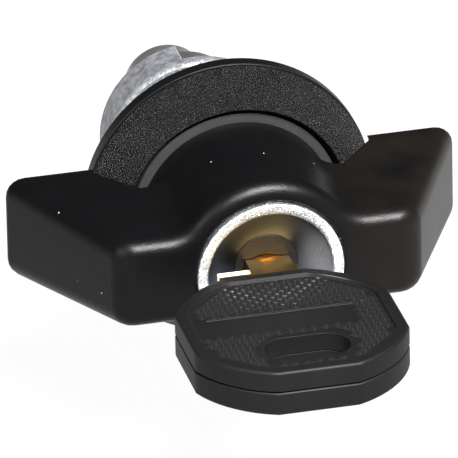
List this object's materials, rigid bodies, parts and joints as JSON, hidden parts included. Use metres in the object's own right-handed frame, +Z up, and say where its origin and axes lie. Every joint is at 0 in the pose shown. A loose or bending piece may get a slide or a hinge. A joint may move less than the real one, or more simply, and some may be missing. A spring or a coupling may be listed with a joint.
{
  "type": "wing handle cam lock",
  "caption": "Quarter-turn cam lock with a black wing handle, chrome-capped key cylinder, round rosette, die-cast housing, cam and its key.",
  "frame": {"origin": "on the lock axis, in the plane of the panel's front face", "axes": "+Y along the lock axis into the cabinet, +Z up with the wings level, +X to the right seen from the key side"},
  "size_m": [0.0562, 0.0869, 0.046],
  "materials": {
    "handle_black": "moulded black nylon, satin",
    "rosette_black": "moulded black nylon, coarse pebble texture",
    "key_black": "moulded black plastic with a fine pyramid pattern",
    "seal_rubber": "matt black rubber",
    "ring_plastic": "plain black plastic",
    "cast_zinc": "die-cast zinc, rough and matt",
    "plated_zinc": "zinc plated steel",
    "ground_steel": "turned bright steel",
    "black_steel": "blackened steel",
    "barrel_zinc": "die-cast zinc, plain",
    "chrome_sheet": "pressed sheet, chrome plated",
    "brass": "stamped and milled brass",
    "spring_wire": "spring wire"
  },
  "bodies": {
    "lock_body": {"rosette": "rosette_black", "panel_seal": "seal_rubber", "housing": "cast_zinc", "friction_ring": "ring_plastic", "retaining_dowel": "ground_steel", "toothed_washer": "plated_zinc", "fixing_nut": "plated_zinc"},
    "handle": {"wing_handle": "handle_black", "cylinder_barrel": "barrel_zinc", "chrome_cap": "chrome_sheet", "barrel_set_screws": "black_steel", "spindle": "ground_steel", "spindle_o_ring": "seal_rubber", "stop_washer": "plated_zinc", "cam": "plated_zinc", "cam_flat_washer": "plated_zinc", "cam_spring_washer": "spring_wire", "cam_screw": "plated_zinc"},
    "plug": {"plug": "brass", "wafer_1": "brass", "wafer_2": "brass", "wafer_3": "brass", "wafer_4": "brass", "wafer_5": "brass", "wafer_springs": "spring_wire"},
    "bolt": {"locking_bolt": "ground_steel"},
    "key": {"key_blade": "brass", "key_bow_upper": "key_black", "key_bow_lower": "key_black"}
  },
  "joints": [
    {"name": "handle_turn", "type": "hinge", "parent": "lock_body", "child": "handle", "pos_m": [0, 0, 0], "axis": [0, -1, 0], "range_deg": [0, 90]},
    {"name": "key_turn", "type": "hinge", "parent": "handle", "child": "plug", "pos_m": [0, 0, 0], "axis": [0, 1, 0], "range_deg": [0, 90]},
    {"name": "bolt_slide", "type": "slide", "parent": "handle", "child": "bolt", "axis": [0, 0, -1], "range_m": [0, 0.00184]},
    {"name": "key_slide", "type": "slide", "parent": "plug", "child": "key", "axis": [0, -1, 0], "range_m": [0, 0.024]}
  ],
  "couplings": [
    {"joint": "bolt_slide", "follows": "key_turn", "m_per_rad": 0.0011704}
  ]
}
